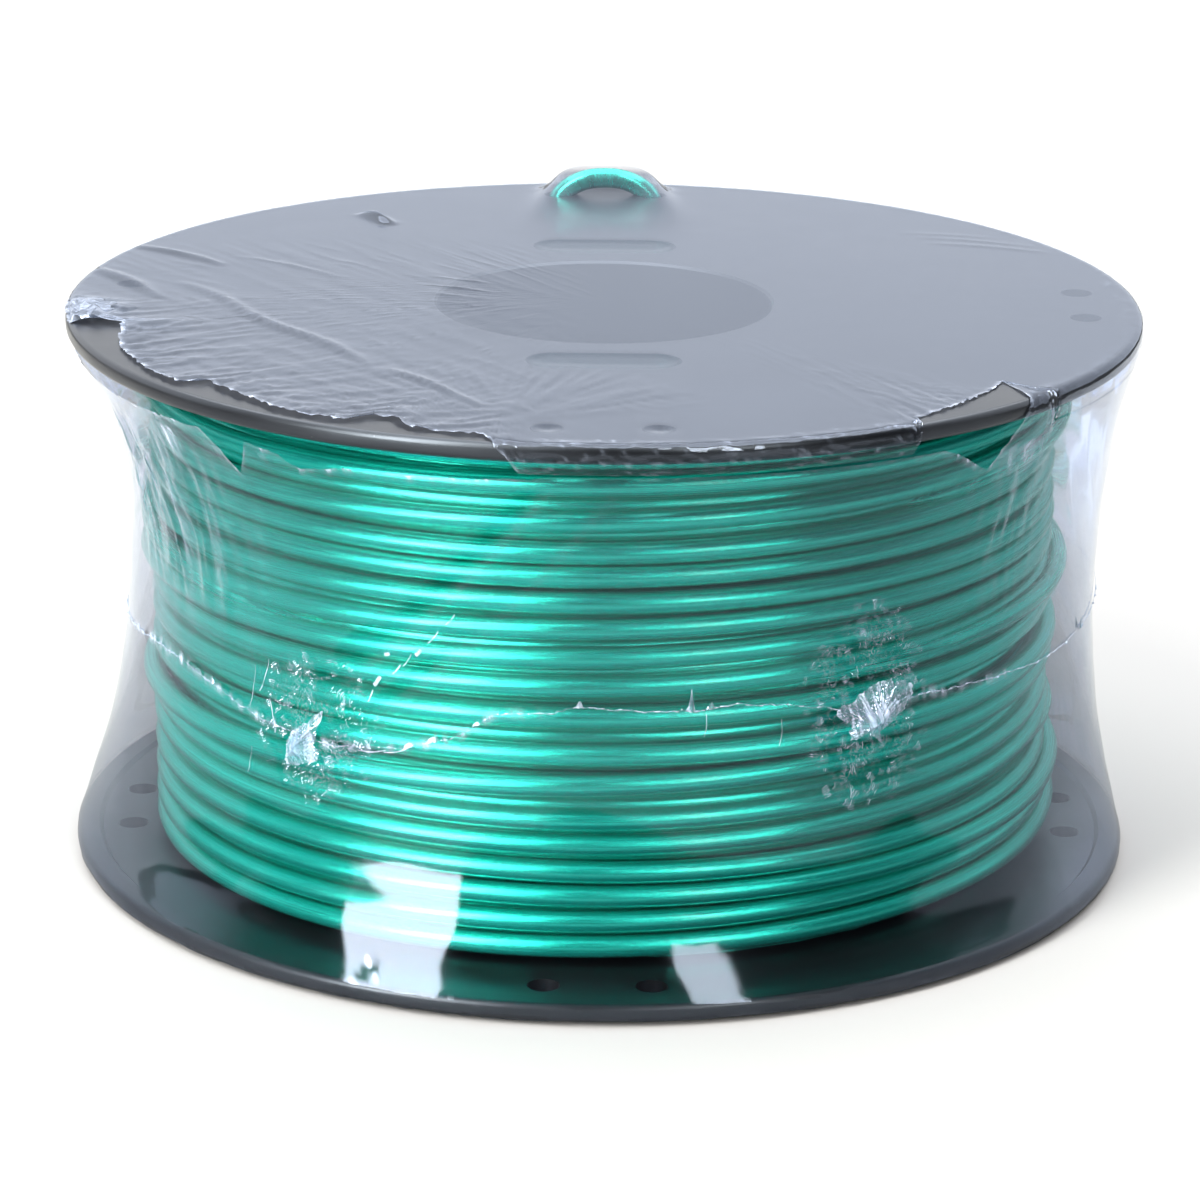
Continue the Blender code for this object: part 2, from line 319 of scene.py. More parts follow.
def green_sheath(settings):
    """Emerald sheath that gleams in its own colour, with fine streaks drawn along the wire."""
    material, tree, shader = new_material("green_sheath")
    run = add_node(tree, "ShaderNodeUVMap")
    run.uv_map = "wire_run"
    along = run.outputs["UV"]
    streak = drawn_noise(tree, along, (16.0, 9.0, 1.0), 1.6, 3.0)
    hairs = drawn_noise(tree, along, (170.0, 30.0, 1.0), 1.0, 2.0)
    cloud = drawn_noise(tree, along, (22.0, 0.6, 1.0), 1.0, 3.0)
    base = (*settings.colour, 1.0)
    deep = (*(0.66 * c for c in settings.colour), 1.0)
    pale = (0.06, min(1.0, 1.3 * settings.colour[1]), min(1.0, 1.35 * settings.colour[2]), 1.0)
    tone = mix_colour(tree, map_range(tree, streak, 0.3, 0.6), deep, base)
    tone = mix_colour(tree, map_range(tree, cloud, 0.5, 0.78), tone, pale)
    tone = mix_colour(tree, map_range(tree, hairs, 0.56, 0.75, 0.0, 0.5), tone, deep)
    tree.links.new(tone, shader.inputs["Base Color"])
    rough = map_range(tree, hairs, 0.3, 0.7, 0.19, 0.29)
    tree.links.new(rough, shader.inputs["Roughness"])
    shader.inputs["Metallic"].default_value = settings.gleam
    shader.inputs["Coat Weight"].default_value = 0.45
    shader.inputs["Coat Roughness"].default_value = 0.18
    relief = add_node(tree, "ShaderNodeBump", Strength=0.16, Distance=0.1 * MM, Height=hairs)
    tree.links.new(relief.outputs["Normal"], shader.inputs["Normal"])
    return material


def clear_film(settings):
    """Thin film: it mirrors more the more level it is looked at, and is milky where it is crumpled; part of
    the milkiness it reads is painted glints and painted sheen.
    """
    material, tree, shader = new_material("clear_film")
    place = add_node(tree, "ShaderNodeTexCoord").outputs["Object"]
    # Milkiness stored on the vertices: crumpled film, and in places painted glints and painted sheen
    milk_and_painted_sheen = vertex_value(tree, "milk_and_painted_sheen")
    melt = vertex_value(tree, "melt")
    cling = vertex_value(tree, "cling")
    fine = add_node(tree, "ShaderNodeTexNoise", Vector=place, Scale=320.0, Detail=3.0)
    curly = add_node(
        tree, "ShaderNodeTexNoise", Vector=place, Scale=1150.0, Detail=1.0, Distortion=1.6
    ).outputs["Fac"]
    rough_melt = maths(tree, "MULTIPLY", curly, maths(tree, "MULTIPLY", melt, 5.0))
    height = maths(tree, "ADD", fine.outputs["Fac"], rough_melt)
    relief = add_node(tree, "ShaderNodeBump", Strength=0.12, Distance=0.06 * MM, Height=height)
    fresnel = add_node(tree, "ShaderNodeFresnel", IOR=1.5, Normal=relief.outputs["Normal"])
    one_side = fresnel.outputs["Fac"]
    twice = maths(tree, "MULTIPLY", one_side, 2.0)
    both_sides = maths(tree, "DIVIDE", twice, maths(tree, "ADD", one_side, 1.0))
    stuck = maths(tree, "SUBTRACT", 1.0, maths(tree, "MULTIPLY", cling, 0.9))
    off = maths(tree, "ABSOLUTE", maths(tree, "SUBTRACT", curly, 0.5))
    line = maths(tree, "MULTIPLY", map_range(tree, off, 0.0, 0.035, 1.0, 0.0), melt)
    patch = add_node(tree, "ShaderNodeTexNoise", Vector=place, Scale=190.0, Detail=2.0)
    line = maths(tree, "MULTIPLY", line, map_range(tree, patch.outputs["Fac"], 0.36, 0.56))
    split = add_node(tree, "ShaderNodeSeparateXYZ", Vector=place)
    turn = maths(tree, "ARCTAN2", split.outputs["X"], maths(tree, "MULTIPLY", split.outputs["Y"], -1.0))
    leaning = maths(tree, "MULTIPLY_ADD", split.outputs["Z"], 3.0, turn)
    drawn = add_node(tree, "ShaderNodeCombineXYZ", X=maths(tree, "MULTIPLY", leaning, 85.0))
    tree.links.new(maths(tree, "MULTIPLY", split.outputs["Z"], 70.0), drawn.inputs["Y"])
    fibre = add_node(tree, "ShaderNodeTexNoise", Vector=drawn.outputs["Vector"], Scale=1.0, Detail=4.0)
    streaky = map_range(tree, fibre.outputs["Fac"], 0.4, 0.68, 0.6, 1.6)
    streaked_milk_and_sheen = maths(tree, "MULTIPLY", milk_and_painted_sheen, streaky)
    milk = maths(tree, "ADD", streaked_milk_and_sheen, maths(tree, "MULTIPLY", line, 0.7), clamp=True)
    clear = maths(tree, "MULTIPLY", maths(tree, "MULTIPLY", both_sides, 0.79), stuck)
    alpha = maths(tree, "ADD", clear, maths(tree, "MULTIPLY", milk, 0.75), clamp=True)
    shader.inputs["Base Color"].default_value = (*settings.tint, 1.0)
    tree.links.new(alpha, shader.inputs["Alpha"])
    metal = maths(tree, "SUBTRACT", 1.0, maths(tree, "MULTIPLY", milk, 1.4), clamp=True)
    tree.links.new(metal, shader.inputs["Metallic"])
    shader.inputs["Roughness"].default_value = 0.06
    tree.links.new(relief.outputs["Normal"], shader.inputs["Normal"])
    return material


# Reel

FLANGE_STEPS = 240
SLOT_CIRCLE = 36.1 * MM
SLOT_RADIUS = 4.25 * MM
SLOT_HALF_RUN = 7.25 * MM
TIE_CIRCLE = 73.4 * MM
TIE_HALF_GAP = 7.8 * MM
TIE_HOLE_RADIUS = 2.4 * MM
CUTTER_LENGTH = 8 * MM


def flange_outline(settings, steps=5):
    """Half section of the lower flange, outer face at height 0."""
    rounding = 0.9 * MM
    collar = 2.1 * MM
    rim_width = 3.4 * MM
    edge = FLANGE_RADIUS - rounding
    points = []
    for i in range(steps + 1):
        angle = math.radians(90 - 90 * i / steps)
        upper = RIM_THICKNESS - rounding
        points.append((edge + rounding * math.cos(angle), upper + rounding * math.sin(angle)))
    for i in range(steps + 1):
        angle = math.radians(-90 * i / steps)
        points.append((edge + rounding * math.cos(angle), rounding + rounding * math.sin(angle)))
    slope = RIM_THICKNESS - settings.plate
    points += [
        (settings.bore_radius + 0.4 * MM, 0.0),
        (settings.bore_radius, 0.4 * MM),
        (settings.bore_radius, COLLAR_TOP - BOTTOM_FACE),
        (settings.bore_radius + collar, COLLAR_TOP - BOTTOM_FACE),
        (settings.bore_radius + collar, settings.plate),
        (FLANGE_RADIUS - rim_width - slope, settings.plate),
        (FLANGE_RADIUS - rim_width, RIM_THICKNESS),
    ]
    return points


def spun_mesh(name, outline, steps, merge=0.001 * MM):
    bm = bmesh.new()
    verts = [bm.verts.new((radius, 0.0, height)) for radius, height in outline]
    edges = [bm.edges.new((verts[i - 1], verts[i])) for i in range(len(verts))]
    bmesh.ops.spin(
        bm,
        geom=verts + edges,
        cent=(0, 0, 0),
        axis=(0, 0, 1),
        angle=2 * math.pi,
        steps=steps,
        use_merge=True,
    )
    return finish_mesh(bm, name, merge)


def drill_mesh(name, places, radius, length, half_run):
    """Cutters through both faces of a flange: round where half_run is 0, else long round-ended ones."""
    bm = bmesh.new()
    for centre, angle in places:
        made = bmesh.ops.create_cone(
            bm, cap_ends=True, segments=32, radius1=radius, radius2=radius, depth=length
        )["verts"]
        bmesh.ops.rotate(bm, verts=made, cent=(0, 0, 0), matrix=Matrix.Rotation(math.pi / 32, 3, "Z"))
        for vert in made:
            vert.co.x += math.copysign(half_run, vert.co.x)
        bmesh.ops.rotate(bm, verts=made, cent=(0, 0, 0), matrix=Matrix.Rotation(angle, 3, "Z"))
        bmesh.ops.translate(bm, verts=made, vec=centre)
    return finish_mesh(bm, name)


def build_flange(name, turned_over, settings, material):
    outline = flange_outline(settings)
    if turned_over:
        outline = [(radius, TOP_FACE - z) for radius, z in outline]
    else:
        outline = [(radius, BOTTOM_FACE + z) for radius, z in outline]
    level = TOP_FACE - settings.plate / 2 if turned_over else BOTTOM_FACE + settings.plate / 2
    body = bpy.data.objects.new(name, spun_mesh(name, outline, FLANGE_STEPS))
    bpy.context.scene.collection.objects.link(body)
    slots = [(polar(SLOT_CIRCLE, math.pi * i, level), math.pi * i) for i in range(2)]
    holes = []
    for i in range(4):
        angle = math.pi * i / 2
        across = polar(1.0, angle + math.pi / 2, 0.0)
        for side in (-1, 1):
            holes.append((polar(TIE_CIRCLE, angle, level) + side * TIE_HALF_GAP * across, 0.0))
    cutters = []
    for label, places, radius, half_run in (
        ("slots", slots, SLOT_RADIUS, SLOT_HALF_RUN),
        ("holes", holes, TIE_HOLE_RADIUS, 0.0),
    ):
        mesh = drill_mesh(name + "_" + label, places, radius, CUTTER_LENGTH, half_run)
        cutter = bpy.data.objects.new(name + "_" + label, mesh)
        bpy.context.scene.collection.objects.link(cutter)
        boolean = body.modifiers.new(label, "BOOLEAN")
        boolean.operation = "DIFFERENCE"
        boolean.solver = "EXACT"
        boolean.object = cutter
        cutters.append(cutter)
    mesh = evaluated_mesh(body)
    for cutter in cutters:
        bpy.data.objects.remove(cutter)
    mesh.name = name
    mesh.shade_smooth()
    mesh.set_sharp_from_angle(angle=math.radians(32))
    return link_object(name, mesh, material)


class SPOOL_OT_reel(bpy.types.Operator):
    """Build both flanges and finish the barrel"""

    bl_idname = "spool.reel"
    bl_label = "Reel"

    def execute(self, context):
        settings = context.scene.spool_reel
        material = black_plastic(settings)
        for node, turned_over in (("bottom_flange", False), ("top_flange", True)):
            flange = build_flange("reel_" + node, turned_over, settings, material)
            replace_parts(flange, node)
        dress(frame["nodes"]["barrel_tube"], material)
        return {"FINISHED"}


# Winding

SECOND_LAYER_TURNS = 22
CLOSEST = 0.72  # how near in height a turn may come to its neighbour, in wire diameters
SWEEPS = 110  # rounds of pushing the turns apart, the last ones with less smoothing
FINE_SWEEPS = 30


def smooth_noise(length, knots, amplitude, random):
    """A smooth random line through evenly spaced knots."""
    heights = random.normal(0.0, 1.0, knots)
    x = np.linspace(0, knots - 1, length)
    base = np.floor(x).astype(int).clip(0, knots - 2)
    t = x - base
    ease = t * t * (3 - 2 * t)
    return amplitude * (heights[base] * (1 - ease) + heights[base + 1] * ease)


def smoothed(line, reach):
    kernel = np.hanning(2 * reach + 3)[1:-1]
    padded = np.pad(line, reach, mode="edge")
    return np.convolve(padded, kernel / kernel.sum(), mode="valid")


def wind_layer(turns, base_radius, wander, slack, seed, per_turn=120):
    """Centre line of one layer: an uneven helix whose turns push each other aside and never meet."""
    random = np.random.default_rng(seed)
    count = turns * per_turn + 1
    along = np.arange(count) / per_turn
    angle = math.pi + 2 * math.pi * along
    first = WINDING_LOW + WIRE_DIAMETER / 2
    last = WINDING_HIGH - WIRE_DIAMETER / 2
    share = along / turns
    height = first + (last - first) * share
    for waves in (1, 2, 3):
        for stack in (1.0, 2.3, 3.7):
            lean = np.sin(waves * angle + 2 * math.pi * (stack * share + random.random()))
            height += 0.3 * wander * lean / waves**0.5
    height += smooth_noise(count, turns * 3, 0.4 * wander, random)
    loose = np.clip(smooth_noise(count, turns * 4, slack, random), 0.0, 1.6 * slack)
    radius = base_radius + smoothed(loose, per_turn // 12)
    base = radius.copy()
    tight = WIRE_DIAMETER * 1.005
    for sweep in range(SWEEPS):
        for lag in (1, 2, 3):
            shift = lag * per_turn
            if lag == 1:
                rise = height[shift:] - height[:-shift]
                close = 0.5 * np.clip(CLOSEST * WIRE_DIAMETER - rise, 0.0, None)
                height[shift:] += close
                height[:-shift] -= close
            rise = height[shift:] - height[:-shift]
            out = radius[shift:] - radius[:-shift]
            gap = np.hypot(rise, out)
            push = 0.5 * np.clip(tight - gap, 0.0, None) / np.maximum(gap, 1e-6)
            height[shift:] += push * rise
            height[:-shift] -= push * rise
            radius[shift:] += push * out
            radius[:-shift] -= push * out
        radius = np.clip(radius - 0.05 * (radius - base), base_radius, base_radius + 2 * WIRE_DIAMETER)
        height = np.clip(height, first, last)
        reach = 4 if sweep < SWEEPS - FINE_SWEEPS else 2
        height = smoothed(height, reach)
        radius = smoothed(radius, reach)
    return angle, np.minimum(radius, base_radius + CLOSEST * WIRE_DIAMETER), height


def wire_piece(name, centre_line, diameter, material, sides=3):
    """A wire along a line of points, with its UV map running round it and along it."""
    curve = bpy.data.curves.new(name, "CURVE")
    curve.dimensions = "3D"
    curve.bevel_depth = diameter / 2
    curve.bevel_resolution = sides
    curve.use_fill_caps = True
    spline = curve.splines.new("POLY")
    spline.points.add(len(centre_line) - 1)
    for spot, point in zip(spline.points, centre_line):
        spot.co = (*point, 1.0)
    raw = bpy.data.objects.new(name + "_line", curve)
    bpy.context.scene.collection.objects.link(raw)
    mesh = evaluated_mesh(raw)
    bpy.data.curves.remove(curve)
    mesh.name = name
    length = sum((b - a).length for a, b in zip(centre_line, centre_line[1:]))
    layer = mesh.uv_layers[0]
    layer.name = "wire_run"
    flat = np.zeros(len(layer.data) * 2)
    layer.data.foreach_get("uv", flat)
    uv = flat.reshape(-1, 2)
    placed = np.column_stack((uv[:, 1] * length, uv[:, 0]))
    layer.data.foreach_set("uv", placed.ravel())
    mesh.shade_smooth()
    return link_object(name, mesh, material)


def helix_points(angle, radius, height):
    return [polar(r, a, z) for a, r, z in zip(angle, radius, height)]


# Turns that ride over the others: degrees from the front and heights at both ends, and how far out they
# stand, in millimetres
OVER_TURNS = (
    (8, 205, 45.5, 49, 3.5),
    (38, 150, 69, 74, 3.2),
    (-165, -28, 58, 51, 2.5),
    (-150, -52, 24, 30, 2.4),
    (52, 190, 24, 18, 3.0),
)


def over_turn(first, last, low, high, base, stand, steps=160):
    """A loose turn that comes out from between the others, rides over them and goes back in."""
    points = []
    for i in range(steps + 1):
        share = i / steps
        rise = math.sin(math.pi * share) ** 0.55 * (stand + 3.4) * MM
        height = (low + (high - low) * share + 0.9 * math.sin(5 * share)) * MM
        points.append(polar(base - 4.2 * MM + rise, math.radians(first + (last - first) * share), height))
    return points


class SPOOL_OT_winding(bpy.types.Operator):
    """Wind the two layers of wire that show, and finish the ones inside"""

    bl_idname = "spool.winding"
    bl_label = "Winding"

    def execute(self, context):
        settings = context.scene.spool_wire
        material = green_sheath(settings)
        outer = WINDING_RADIUS - WIRE_DIAMETER / 2 - 0.6 * MM
        under = LAYER_13_RADIUS - WIRE_DIAMETER / 2
        line = wind_layer(settings.turns, outer, settings.wander, settings.slack, 7)
        top_layer = wire_piece("wire_outer_layer", helix_points(*line), WIRE_DIAMETER, material)
        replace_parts(top_layer, "wire_layer_14")
        for number, (first, last, low, high, stand) in enumerate(OVER_TURNS):
            points = over_turn(first, last, low, high, outer, stand)
            loose = wire_piece("wire_loose_turn_{}".format(number + 1), points, WIRE_DIAMETER, material)
            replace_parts(loose, "wire_layer_14")
        line = wind_layer(SECOND_LAYER_TURNS, under, 0.25 * settings.wander, 0.0, 3, 90)
        second = wire_piece("wire_second_layer", helix_points(*line), WIRE_DIAMETER, material, 2)
        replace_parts(second, "wire_layer_13")
        for node in INNER_LAYERS:
            dress(frame["nodes"][node], material)
        return {"FINISHED"}


def arch_share(share):
    """Height of the wire's low arch, 1 at its middle and 0 at both holes."""
    return max(1 - abs(share) ** 2.3, 0.0) ** 0.8


class SPOOL_OT_wire_end(bpy.types.Operator):
    """Thread the wire's end through two tie holes at the back"""

    bl_idname = "spool.wire_end"
    bl_label = "Wire end"

    def execute(self, context):
        material = bpy.data.materials["green_sheath"]
        crown = LOOP_HIGH.z - WIRE_DIAMETER / 2
        foot = TOP_FACE - 0.6 * MM
        leg = [LOOP_LOW.z + (foot - LOOP_LOW.z) * i / 7 for i in range(7)]
        points = [Vector((-LOOP_HALF, LOOP_Y, height)) for height in leg]
        for i in range(41):
            x = LOOP_HALF * (2 * i / 40 - 1)
            points.append(Vector((x, LOOP_Y, foot + (crown - foot) * arch_share(x / LOOP_HALF))))
        points += [Vector((LOOP_HALF, LOOP_Y, height)) for height in reversed(leg)]
        loop = wire_piece("wire_end", points, WIRE_DIAMETER, material, 4)
        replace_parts(loop, "wire_end_loop")
        return {"FINISHED"}


# Film

RIM_ROUNDING = 0.9 * MM

# The film's run: how far along the film from the axis, over the top, down the side and under
TOP_EDGE = FLANGE_RADIUS - RIM_ROUNDING
BEND = RIM_ROUNDING + FILM_GAP
SIDE_START = TOP_EDGE + BEND * math.pi / 2
SIDE_END = SIDE_START + TOP_FACE - BOTTOM_FACE - 2 * RIM_ROUNDING
FILM_END = SIDE_END + BEND * math.pi / 2 + TOP_EDGE
JOIN = SIDE_START + 3.4 * MM
RELIEF_START = SIDE_START + 6 * MM
WAIST_MM = 75.0
ARC_MM = 1.31  # millimetres round the waist for each degree

# Edges of the tears: degrees from the front, and millimetres along the film's run
LEFT_TOP_TEAR = (
    (-89, 87), (-87, 82.6), (-78, 82.2), (-76, 75), (-71, 76), (-67, 78), (-55, 80), (-50, 80.3), (-48, 76.8),
    (-40, 78.5), (-33, 80.7), (-27, 80), (-25, 76.2), (-22.5, 76), (-20, 79.3), (-12, 80), (-9.5, 84),
    (-8, 87),
)
RIGHT_TOP_TEAR = ((32, 87), (33.5, 80), (51, 74.5), (52.5, 87))
LEFT_SIDE_TEAR = (
    (-89, 87), (-60, 87.5), (-45, 87), (-43, 90), (-41, 93), (-40, 91), (-38.5, 87.5), (-35, 88), (-32, 90),
    (-26, 88.5), (-17, 88.3), (-7, 87.5), (-5, 87),
)
RIGHT_SIDE_TEAR = ((36, 87), (38, 88), (43, 92), (45.5, 87), (48, 82), (51, 74.5), (52.5, 87))

# Long creases on top, in millimetres: x and y of both ends, width and height
CREASES = (
    (-76, 33, -60, 20, 0.9, 0.5),
    (-80, 17, -68, -2, 1.1, 0.6),
    (-66, 9, -33, -42, 0.9, 0.55),
    (-33, -42, -16, -63, 0.8, 0.4),
    (-58, 26, -40, 12, 0.6, 0.14),
    (50, 44, 70, 38, 0.6, 0.1),
    (52, 40, 72, 34, 0.6, 0.12),
    (48, 47, 64, 43, 0.6, 0.08),
    (-28, 14, -18, 9, 0.5, 0.08),
    (-29, 9, -17, 3, 0.5, 0.1),
    (-28, 4, -18, -2, 0.5, 0.09),
    (-27, -1, -20, -6, 0.5, 0.07),
    (-40, 57, -36, 49, 1.2, 1.3),
)

# Where the fine creases on top fan out from, in millimetres
FAN_X = -14
FAN_Y = -71

# Crumpled flaps beside the tears: degrees from the front, height, half width, half height, slant, milkiness
FLAPS = (
    (48.5, 80.5, 3.4, 5.5, 0.5, 0.62),
    (54, 83, 3.0, 3.0, 0.5, 0.3),
    (-42.5, 80, 2.2, 3.2, -0.6, 0.5),
    (-37.5, 80.5, 1.6, 1.6, 0.4, 0.25),
    (-52, 78, 1.6, 3.0, 0.6, 0.55),
    (-55, 66, 1.2, 11, 0.1, 0.34),
    (-61, 70, 1.0, 10, 0.1, 0.3),
    (-48, 60, 0.9, 9, 0.1, 0.2),
    (-68, 70, 3.0, 12, 0.1, 0.2),
)

# Where a fleck of film sticks to the lower flange: degrees from the front, and height
LEAF = (-24.0, 5.2)

# The diagonal fold at the left: degrees from the front and height of its upper end, and which way it runs
FOLD_END = (-5.5, 83.5)
FOLD_DOWN = 0.825
FOLD_ACROSS = 0.563

# Where the film has melted onto the wire: degrees from the front, height, half width and half height
MELTS = ((-33, 39, 10, 11), (30, 44, 10, 15))

# Clusters of fine creases there: degrees from the front, height, half width, half height and how many
WELDS = ((-33, 39, 11.5, 11, 130), (30, 44, 10.5, 15.5, 170))

# The sealed seam's way round: degrees from the front and height
SEAM_WAY = (
    (-180, 41), (-150, 43), (-120, 40), (-95, 38), (-78, 39.2), (-66, 40.8), (-57, 41), (-49, 39.5),
    (-41, 37.4), (-36, 36.8), (-30, 36.2), (-26, 37.2), (-22, 37.6), (-15, 40.8), (-11.4, 44.4),
    (-5.6, 44.9), (-2.2, 46), (4, 45.4), (10, 45.2), (15, 45.8), (21, 45), (26, 43.6), (31, 42.6),
    (37, 43.4), (60, 42), (90, 44), (120, 42), (150, 43), (180, 41),
)

# Short points that stand up from the seam: degrees from the front, and height in millimetres
SEAM_SPIKES = ((-27, 1.2), (-18, 1.6), (-2.2, 1.2), (9.8, 3.6), (12, 1.3), (-50, 1.4), (70, 2.0), (160, 2.6))

# Flakes of the scratch: degrees from the front, height, length, bearing in radians and width in millimetres
SCRATCH = (
    (-16.2, 58, 2.2, 0.9, 0.1),
    (-18.2, 55, 2.6, 0.9, 0.14),
    (-20, 52.4, 1.3, 0.8, 0.5),
    (-21.3, 51, 2.4, 1.0, 0.14),
    (-22.6, 49.4, 2.0, 0.9, 0.2),
    (-23.8, 51.5, 0.9, 0.3, 0.5),
    (-25, 47.2, 1.8, 1.0, 0.55),
    (-25.8, 44.8, 2.0, 1.2, 0.14),
    (-40.5, 44, 5.5, 1.25, 0.1),
    (-42.3, 42, 6.5, 1.45, 0.08),
    (-39, 38.5, 5, 1.9, 0.12),
    (-42, 31, 4, 1.5, 0.07),
    (-25.5, 36.6, 4.5, 0.15, 0.2),
    (-22.5, 37.2, 4, 0.3, 0.16),
    (11.5, 43, 3.4, 1.5, 0.07),
    (20, 41, 4, 1.5, 0.07),
)

# Outlines of the gathered tabs: bearing in degrees, from the right and turning upwards, and reach in
# millimetres
LEFT_TAB = (
    (0, 3.6), (20, 2.6), (48, 4.5), (58, 7.5), (70, 4.2), (100, 2.6), (150, 2.2), (200, 2.3), (235, 3.4),
    (260, 2.8), (300, 2.4), (335, 3.4), (360, 3.6),
)
RIGHT_TAB = (
    (0, 4.0), (15, 6.2), (30, 8.0), (42, 7.2), (65, 6.2), (100, 5.0), (135, 4.6), (158, 6.2),
    (166, 6.0), (182, 3.4), (213, 4.4), (238, 2.2), (275, 2.4), (290, 3.6), (303, 2.0), (330, 2.6),
    (360, 4.0),
)


def value_at(table, degrees):
    """The value of a table of (degrees, value) pairs at an angle."""
    return float(np.interp(degrees, [row[0] for row in table], [row[1] for row in table]))


def waist_at(degrees):
    """(radius, share of the height) of the film's waist at an angle from the front."""
    right = smooth_step(12, 75, degrees)
    left = smooth_step(12, 75, -degrees)
    radius = (75.2 + 1.6 * right - 2.2 * left) * MM
    return radius, 0.56 - 0.04 * right + 0.1 * left


def film_radius(degrees, height):
    """The film's radius at an angle from the front and a height: drawn in between the rims."""
    waist, share = waist_at(degrees)
    low = BOTTOM_FACE + RIM_THICKNESS * 0.7
    high = TOP_FACE - RIM_THICKNESS
    at = min(max((height - low) / (high - low), 0.0), 1.0)
    away = abs(at - share) / (share if at < share else 1 - share)
    rim = FLANGE_RADIUS + FILM_GAP
    power = 2.1
    if at < share:
        power += 0.9 * bump(degrees, 16, 9) - 0.35 * bump(degrees, 35, 10) - 0.3 * bump(degrees, -34, 14)
    return waist + (rim - waist) * away**power


def film_profile(angle, run):
    """(point, outward direction) at a distance along the film: over the top, down the side and under."""
    if run <= TOP_EDGE:
        return polar(run, angle, TOP_FACE + FILM_GAP), Vector((0, 0, 1))
    if run <= SIDE_START:
        bend = (run - TOP_EDGE) / BEND
        out = polar(math.sin(bend), angle, math.cos(bend))
        return polar(TOP_EDGE, angle, TOP_FACE - RIM_ROUNDING) + BEND * out, out
    if run <= SIDE_END:
        height = TOP_FACE - RIM_ROUNDING - (run - SIDE_START)
        return polar(film_radius(math.degrees(angle), height), angle, height), polar(1.0, angle, 0.0)
    bend = min((run - SIDE_END) / BEND, math.pi / 2)
    out = polar(math.cos(bend), angle, -math.sin(bend))
    if bend < math.pi / 2:
        return polar(TOP_EDGE, angle, BOTTOM_FACE + RIM_ROUNDING) + BEND * out, out
    return polar(max(FILM_END - run, 0.0), angle, BOTTOM_FACE - FILM_GAP), Vector((0, 0, -1))


def ruffle(x, y, z, octaves=2):
    return noise.fractal(Vector((x, y, z)), 1.0, 2.0, octaves)


def crease_lift(x, y):
    """Height in millimetres of the long creases."""
    lift = 0.0
    for x0, y0, x1, y1, width, height in CREASES:
        length = math.hypot(x1 - x0, y1 - y0)
        along = ((x - x0) * (x1 - x0) + (y - y0) * (y1 - y0)) / length
        if along < 0 or along > length:
            continue
        off = ((x - x0) * (y1 - y0) - (y - y0) * (x1 - x0)) / length + 0.8 * math.sin(along / 6)
        if abs(off) < 4 * width:
            lift += height * bump(off, 0, width) * math.sin(math.pi * along / length) ** 0.6
    return lift


def top_relief(x, y, degrees, edge):
    """(lift in millimetres, milkiness) of the film on top; edge is how far it is from where it ends."""
    lift = crease_lift(x, y)
    dx = x - FAN_X
    dy = y - FAN_Y
    reach = math.hypot(dx, dy)
    bearing = math.atan2(dx, dy)
    sector = smooth_step(-1.9, -1.5, bearing) * (1 - smooth_step(0.9, 1.4, bearing))
    fan = sector * smooth_step(1, 6, reach) * (1 - smooth_step(22, 58 if bearing < -0.4 else 36, reach))
    if fan > 0:
        lift += 0.16 * fan * ridged(ruffle(bearing * 11, reach * 0.035, 3.0)) ** 2
    drawn = (1 - smooth_step(-30, 5, x)) * (1 - smooth_step(24, 44, y))
    if drawn > 0:
        down = 0.57 * x - 0.82 * y
        aside = 0.82 * x + 0.57 * y
        lift += 0.1 * drawn * ridged(ruffle(aside * 0.42, down * 0.035, 6.0)) ** 3
    torn = smooth_step(-92, -84, degrees) * (1 - smooth_step(-12, -6, degrees))
    near = torn * math.exp(-edge / 12)
    if near > 0.02:
        sway = ruffle(x * 0.03, y * 0.03, 5.0)
        lift += 0.4 * near * ridged(ruffle(x * 0.10 + sway, (y - 0.5 * x) * 0.3, 9.0)) ** 2
        lift += 0.12 * near * ridged(ruffle(x * 0.5, y * 0.8, 1.0))
    crumpled = bump(degrees, -82, 6) * smooth_step(12, 2, edge)
    lift += 1.5 * crumpled * ridged(ruffle(x * 0.35, y * 0.35, 2.0))
    for hole_x in (-TIE_HALF_GAP, TIE_HALF_GAP):
        lift -= 0.3 * bump(math.hypot(x - hole_x / MM, y + TIE_CIRCLE / MM), 0, 1.6)
    for side in (-SLOT_CIRCLE / MM, SLOT_CIRCLE / MM):
        inside = math.hypot(max(abs(x) - 7.2, 0), y - side)
        lift -= 0.12 * (1 - smooth_step(2.4, 4.4, inside))
    pull = bump(degrees, 38, 7) * math.exp(-edge / 16)
    lift += 0.3 * pull * ridged(ruffle((x + 0.55 * y) * 0.55, (y - 0.55 * x) * 0.05, 4.0)) ** 2
    return lift, 0.35 * crumpled


def rim_relief(degrees, run):
    """(lift, milkiness) of the crumpled film that wraps the upper rim; its milkiness, on the crests of the
    folds, is painted glints.
    """
    worn = smooth_step(-12, -7, degrees) * (1 - 0.7 * smooth_step(36, 60, degrees))
    worn = max(worn, 0.25)
    fold = ridged(ruffle(degrees * 0.4, run * 1.5, 7.0))
    # Milkiness on the crests of the folds: painted glints
    return 0.2 * worn * fold**2, 0.22 * worn * smooth_step(0.86, 0.99, fold)


